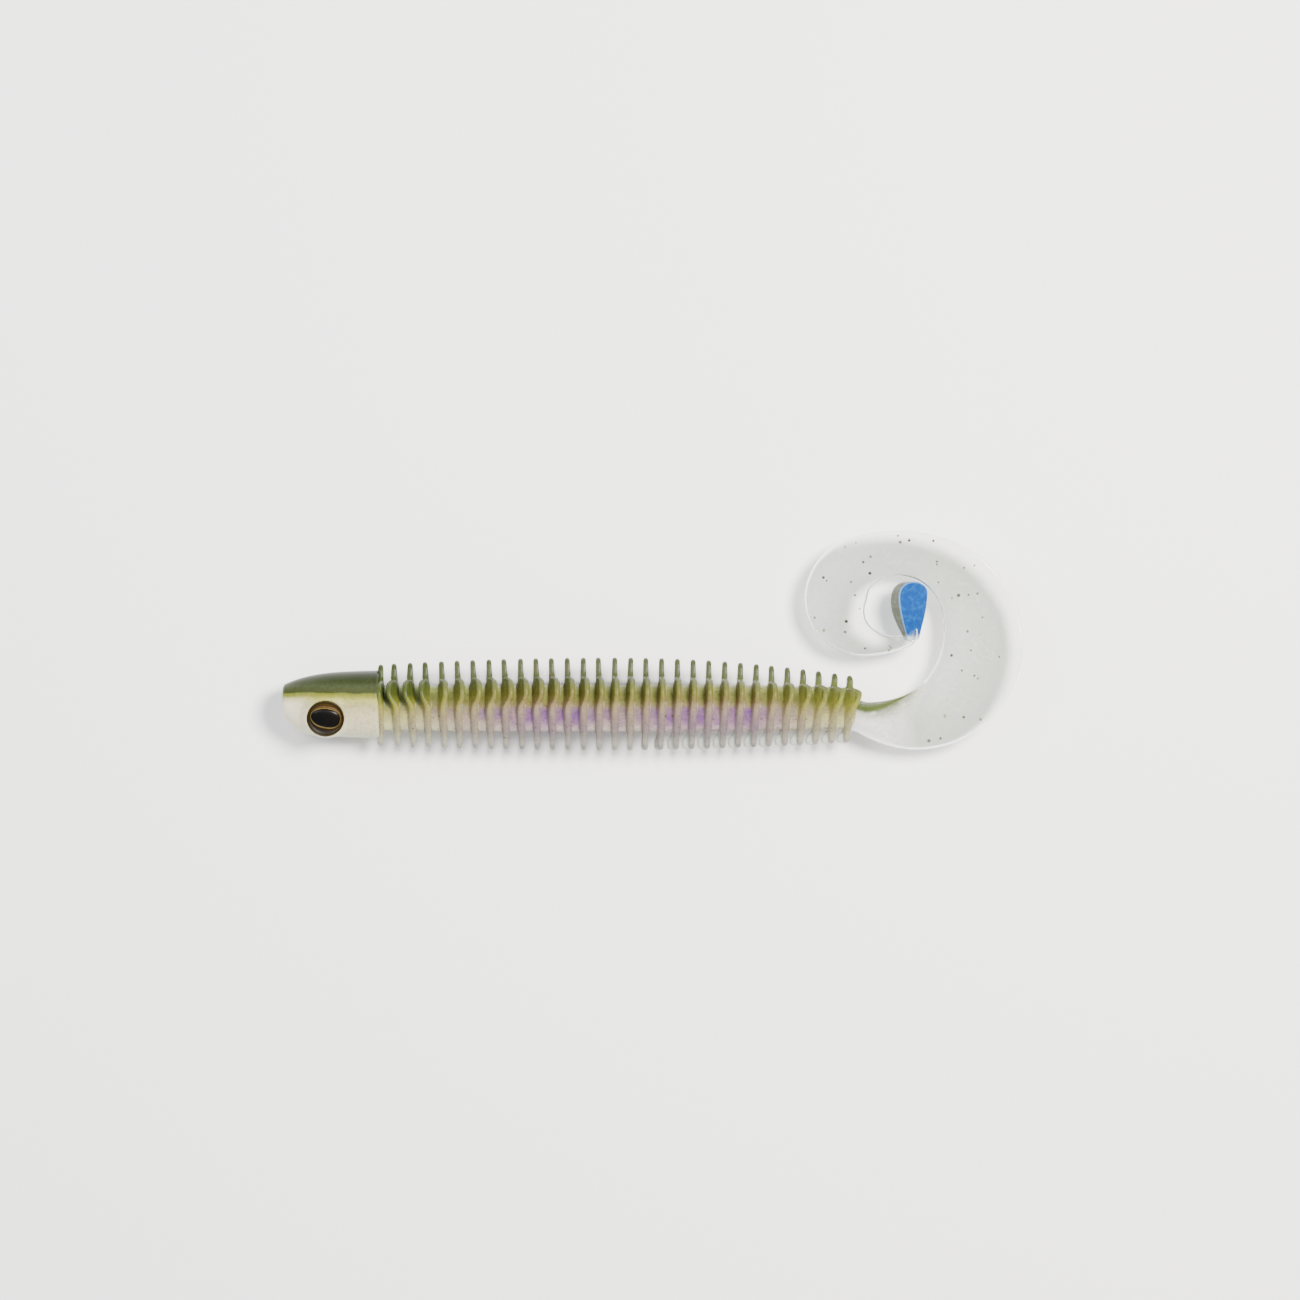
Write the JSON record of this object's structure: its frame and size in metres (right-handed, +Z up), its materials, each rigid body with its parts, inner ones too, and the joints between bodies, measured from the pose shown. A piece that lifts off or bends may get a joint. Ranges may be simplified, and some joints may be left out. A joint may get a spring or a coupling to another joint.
{
  "type": "soft plastic worm",
  "caption": "Ribbed soft fishing worm with a blunt two-tone head, moulded eyes, a flexible ringed body and a wide clear curled tail ending in a thick blue drop.",
  "frame": {"origin": "on the flat nose face, on the body's axis, where a hook's eye or a jig head seats", "axes": "the worm lies on its side: +X from the nose to the tail, +Y the worm's back, +Z up, out of its left flank"},
  "size_m": [0.0996, 0.0296, 0.0094],
  "materials": {
    "olive_pearl_plastisol": "satin moulded soft vinyl, olive back over a pearl belly",
    "ribbed_plastisol": "satin translucent soft vinyl, olive back, violet tint, pale keel",
    "clear_plastisol": "clear soft vinyl sheet with a few dark glitter flecks",
    "blue_dyed_plastisol": "blue dipped soft vinyl",
    "bronze_iris": "bronze painted, stepped ring",
    "black_pupil": "gloss black dome"
  },
  "bodies": {
    "head": {"head": "olive_pearl_plastisol", "ring_01": "ribbed_plastisol", "left_iris": "bronze_iris", "left_pupil": "black_pupil", "right_iris": "bronze_iris", "right_pupil": "black_pupil"},
    "ring_02": {"ring_02": "ribbed_plastisol"},
    "ring_03": {"ring_03": "ribbed_plastisol"},
    "ring_04": {"ring_04": "ribbed_plastisol"},
    "ring_05": {"ring_05": "ribbed_plastisol"},
    "ring_06": {"ring_06": "ribbed_plastisol"},
    "ring_07": {"ring_07": "ribbed_plastisol"},
    "ring_08": {"ring_08": "ribbed_plastisol"},
    "ring_09": {"ring_09": "ribbed_plastisol"},
    "ring_10": {"ring_10": "ribbed_plastisol"},
    "ring_11": {"ring_11": "ribbed_plastisol"},
    "ring_12": {"ring_12": "ribbed_plastisol"},
    "ring_13": {"ring_13": "ribbed_plastisol"},
    "ring_14": {"ring_14": "ribbed_plastisol"},
    "ring_15": {"ring_15": "ribbed_plastisol"},
    "ring_16": {"ring_16": "ribbed_plastisol"},
    "ring_17": {"ring_17": "ribbed_plastisol"},
    "ring_18": {"ring_18": "ribbed_plastisol"},
    "ring_19": {"ring_19": "ribbed_plastisol"},
    "ring_20": {"ring_20": "ribbed_plastisol"},
    "ring_21": {"ring_21": "ribbed_plastisol"},
    "ring_22": {"ring_22": "ribbed_plastisol"},
    "ring_23": {"ring_23": "ribbed_plastisol"},
    "ring_24": {"ring_24": "ribbed_plastisol"},
    "ring_25": {"ring_25": "ribbed_plastisol"},
    "ring_26": {"ring_26": "ribbed_plastisol"},
    "ring_27": {"ring_27": "ribbed_plastisol"},
    "ring_28": {"ring_28": "ribbed_plastisol"},
    "ring_29": {"ring_29": "ribbed_plastisol"},
    "ring_30": {"ring_30": "ribbed_plastisol"},
    "ring_31": {"ring_31": "ribbed_plastisol"},
    "tail_stem": {"tail_stem": "clear_plastisol"},
    "tail_01": {"tail_01": "clear_plastisol"},
    "tail_02": {"tail_02": "clear_plastisol"},
    "tail_03": {"tail_03": "clear_plastisol"},
    "tail_04": {"tail_04": "clear_plastisol"},
    "tail_05": {"tail_05": "clear_plastisol"},
    "tail_06": {"tail_06": "clear_plastisol"},
    "tail_07": {"tail_07": "clear_plastisol"},
    "tail_08": {"tail_08": "clear_plastisol"},
    "tail_09": {"tail_09": "clear_plastisol"},
    "tail_10": {"tail_10": "clear_plastisol"},
    "tail_tip": {"tail_tip": "blue_dyed_plastisol"}
  },
  "joints": [
    {"name": "ring_02_sway", "type": "hinge", "parent": "head", "child": "ring_02", "pos_m": [0.0152, 0, 0], "axis": [0, 1, 0], "range_deg": [-7, 7], "stiffness_Nm_per_rad": 0.005},
    {"name": "ring_03_arch", "type": "hinge", "parent": "ring_02", "child": "ring_03", "pos_m": [0.01729, 0, 0], "axis": [0, 0, 1], "range_deg": [-7, 7], "stiffness_Nm_per_rad": 0.005},
    {"name": "ring_04_sway", "type": "hinge", "parent": "ring_03", "child": "ring_04", "pos_m": [0.01938, 0, 0], "axis": [0, 1, 0], "range_deg": [-7, 7], "stiffness_Nm_per_rad": 0.005},
    {"name": "ring_05_arch", "type": "hinge", "parent": "ring_04", "child": "ring_05", "pos_m": [0.02148, 0, 0], "axis": [0, 0, 1], "range_deg": [-7, 7], "stiffness_Nm_per_rad": 0.005},
    {"name": "ring_06_sway", "type": "hinge", "parent": "ring_05", "child": "ring_06", "pos_m": [0.02357, 0, 0], "axis": [0, 1, 0], "range_deg": [-7, 7], "stiffness_Nm_per_rad": 0.005},
    {"name": "ring_07_arch", "type": "hinge", "parent": "ring_06", "child": "ring_07", "pos_m": [0.02567, 0, 0], "axis": [0, 0, 1], "range_deg": [-7, 7], "stiffness_Nm_per_rad": 0.005},
    {"name": "ring_08_sway", "type": "hinge", "parent": "ring_07", "child": "ring_08", "pos_m": [0.02777, 0, 0], "axis": [0, 1, 0], "range_deg": [-7, 7], "stiffness_Nm_per_rad": 0.005},
    {"name": "ring_09_arch", "type": "hinge", "parent": "ring_08", "child": "ring_09", "pos_m": [0.02986, 0, 0], "axis": [0, 0, 1], "range_deg": [-7, 7], "stiffness_Nm_per_rad": 0.005},
    {"name": "ring_10_sway", "type": "hinge", "parent": "ring_09", "child": "ring_10", "pos_m": [0.03195, 0, 0], "axis": [0, 1, 0], "range_deg": [-7, 7], "stiffness_Nm_per_rad": 0.005},
    {"name": "ring_11_arch", "type": "hinge", "parent": "ring_10", "child": "ring_11", "pos_m": [0.03405, 0, 0], "axis": [0, 0, 1], "range_deg": [-7, 7], "stiffness_Nm_per_rad": 0.005},
    {"name": "ring_12_sway", "type": "hinge", "parent": "ring_11", "child": "ring_12", "pos_m": [0.03614, 0, 0], "axis": [0, 1, 0], "range_deg": [-7, 7], "stiffness_Nm_per_rad": 0.005},
    {"name": "ring_13_arch", "type": "hinge", "parent": "ring_12", "child": "ring_13", "pos_m": [0.03824, 0, 0], "axis": [0, 0, 1], "range_deg": [-7, 7], "stiffness_Nm_per_rad": 0.005},
    {"name": "ring_14_sway", "type": "hinge", "parent": "ring_13", "child": "ring_14", "pos_m": [0.04034, 0, 0], "axis": [0, 1, 0], "range_deg": [-7, 7], "stiffness_Nm_per_rad": 0.005},
    {"name": "ring_15_arch", "type": "hinge", "parent": "ring_14", "child": "ring_15", "pos_m": [0.04243, 0, 0], "axis": [0, 0, 1], "range_deg": [-7, 7], "stiffness_Nm_per_rad": 0.005},
    {"name": "ring_16_sway", "type": "hinge", "parent": "ring_15", "child": "ring_16", "pos_m": [0.04453, 0, 0], "axis": [0, 1, 0], "range_deg": [-7, 7], "stiffness_Nm_per_rad": 0.005},
    {"name": "ring_17_arch", "type": "hinge", "parent": "ring_16", "child": "ring_17", "pos_m": [0.04662, 0, 0], "axis": [0, 0, 1], "range_deg": [-7, 7], "stiffness_Nm_per_rad": 0.005},
    {"name": "ring_18_sway", "type": "hinge", "parent": "ring_17", "child": "ring_18", "pos_m": [0.04872, 0, 0], "axis": [0, 1, 0], "range_deg": [-7, 7], "stiffness_Nm_per_rad": 0.005},
    {"name": "ring_19_arch", "type": "hinge", "parent": "ring_18", "child": "ring_19", "pos_m": [0.05081, 0, 0], "axis": [0, 0, 1], "range_deg": [-7, 7], "stiffness_Nm_per_rad": 0.005},
    {"name": "ring_20_sway", "type": "hinge", "parent": "ring_19", "child": "ring_20", "pos_m": [0.05291, 0, 0], "axis": [0, 1, 0], "range_deg": [-7, 7], "stiffness_Nm_per_rad": 0.005},
    {"name": "ring_21_arch", "type": "hinge", "parent": "ring_20", "child": "ring_21", "pos_m": [0.055, 0, 0], "axis": [0, 0, 1], "range_deg": [-7, 7], "stiffness_Nm_per_rad": 0.005},
    {"name": "ring_22_sway", "type": "hinge", "parent": "ring_21", "child": "ring_22", "pos_m": [0.05709, 0, 0], "axis": [0, 1, 0], "range_deg": [-7, 7], "stiffness_Nm_per_rad": 0.005},
    {"name": "ring_23_arch", "type": "hinge", "parent": "ring_22", "child": "ring_23", "pos_m": [0.05919, 0, 0], "axis": [0, 0, 1], "range_deg": [-7, 7], "stiffness_Nm_per_rad": 0.005},
    {"name": "ring_24_sway", "type": "hinge", "parent": "ring_23", "child": "ring_24", "pos_m": [0.06128, 0, 0], "axis": [0, 1, 0], "range_deg": [-7, 7], "stiffness_Nm_per_rad": 0.005},
    {"name": "ring_25_arch", "type": "hinge", "parent": "ring_24", "child": "ring_25", "pos_m": [0.06338, 0, 0], "axis": [0, 0, 1], "range_deg": [-7, 7], "stiffness_Nm_per_rad": 0.005},
    {"name": "ring_26_sway", "type": "hinge", "parent": "ring_25", "child": "ring_26", "pos_m": [0.06548, 0, 0], "axis": [0, 1, 0], "range_deg": [-7, 7], "stiffness_Nm_per_rad": 0.005},
    {"name": "ring_27_arch", "type": "hinge", "parent": "ring_26", "child": "ring_27", "pos_m": [0.06757, 0, 0], "axis": [0, 0, 1], "range_deg": [-7, 7], "stiffness_Nm_per_rad": 0.005},
    {"name": "ring_28_sway", "type": "hinge", "parent": "ring_27", "child": "ring_28", "pos_m": [0.06967, 0, 0], "axis": [0, 1, 0], "range_deg": [-7, 7], "stiffness_Nm_per_rad": 0.005},
    {"name": "ring_29_arch", "type": "hinge", "parent": "ring_28", "child": "ring_29", "pos_m": [0.07176, 0, 0], "axis": [0, 0, 1], "range_deg": [-7, 7], "stiffness_Nm_per_rad": 0.005},
    {"name": "ring_30_sway", "type": "hinge", "parent": "ring_29", "child": "ring_30", "pos_m": [0.07386, 0, 0], "axis": [0, 1, 0], "range_deg": [-7, 7], "stiffness_Nm_per_rad": 0.005},
    {"name": "ring_31_arch", "type": "hinge", "parent": "ring_30", "child": "ring_31", "pos_m": [0.07595, 0, 0], "axis": [0, 0, 1], "range_deg": [-7, 7], "stiffness_Nm_per_rad": 0.005},
    {"name": "stem_sway", "type": "hinge", "parent": "ring_31", "child": "tail_stem", "pos_m": [0.077, -0.0012, 0], "axis": [0, 1, 0], "range_deg": [-10, 10], "stiffness_Nm_per_rad": 0.004},
    {"name": "tail_01_flutter", "type": "hinge", "parent": "tail_stem", "child": "tail_01", "pos_m": [0.08419, -0.00185, 0], "axis": [-0.128, 0.9918, 0], "range_deg": [-15, 15], "stiffness_Nm_per_rad": 0.002},
    {"name": "tail_02_unfurl", "type": "hinge", "parent": "tail_01", "child": "tail_02", "pos_m": [0.09269, -0.00342, 0], "axis": [0, 0, -1], "range_deg": [0, 10], "stiffness_Nm_per_rad": 0.003},
    {"name": "tail_03_flutter", "type": "hinge", "parent": "tail_02", "child": "tail_03", "pos_m": [0.09331, 0.0052, 0], "axis": [-0.9275, 0.3737, 0], "range_deg": [-15, 15], "stiffness_Nm_per_rad": 0.002},
    {"name": "tail_04_unfurl", "type": "hinge", "parent": "tail_03", "child": "tail_04", "pos_m": [0.09924, 0.01189, 0], "axis": [0, 0, -1], "range_deg": [0, 10], "stiffness_Nm_per_rad": 0.003},
    {"name": "tail_05_flutter", "type": "hinge", "parent": "tail_04", "child": "tail_05", "pos_m": [0.09163, 0.01659, 0], "axis": [-0.7798, -0.626, 0], "range_deg": [-15, 15], "stiffness_Nm_per_rad": 0.002},
    {"name": "tail_06_unfurl", "type": "hinge", "parent": "tail_05", "child": "tail_06", "pos_m": [0.08798, 0.0232, 0], "axis": [0, 0, -1], "range_deg": [0, 10], "stiffness_Nm_per_rad": 0.003},
    {"name": "tail_07_flutter", "type": "hinge", "parent": "tail_06", "child": "tail_07", "pos_m": [0.08086, 0.0207, 0], "axis": [0.1644, -0.9864, 0], "range_deg": [-15, 15], "stiffness_Nm_per_rad": 0.002},
    {"name": "tail_08_unfurl", "type": "hinge", "parent": "tail_07", "child": "tail_08", "pos_m": [0.07248, 0.02059, 0], "axis": [0, 0, -1], "range_deg": [0, 10], "stiffness_Nm_per_rad": 0.003},
    {"name": "tail_09_flutter", "type": "hinge", "parent": "tail_08", "child": "tail_09", "pos_m": [0.07466, 0.01237, 0], "axis": [0.9315, 0.3637, 0], "range_deg": [-15, 15], "stiffness_Nm_per_rad": 0.002},
    {"name": "tail_10_flutter", "type": "hinge", "parent": "tail_09", "child": "tail_10", "pos_m": [0.07917, 0.00877, 0], "axis": [0.2019, 0.9794, 0], "range_deg": [-15, 15], "stiffness_Nm_per_rad": 0.002},
    {"name": "tip_flutter", "type": "hinge", "parent": "tail_10", "child": "tail_tip", "pos_m": [0.0844, 0.01016, 0], "axis": [-0.9986, -0.0523, 0], "range_deg": [-20, 20], "stiffness_Nm_per_rad": 0.001}
  ]
}
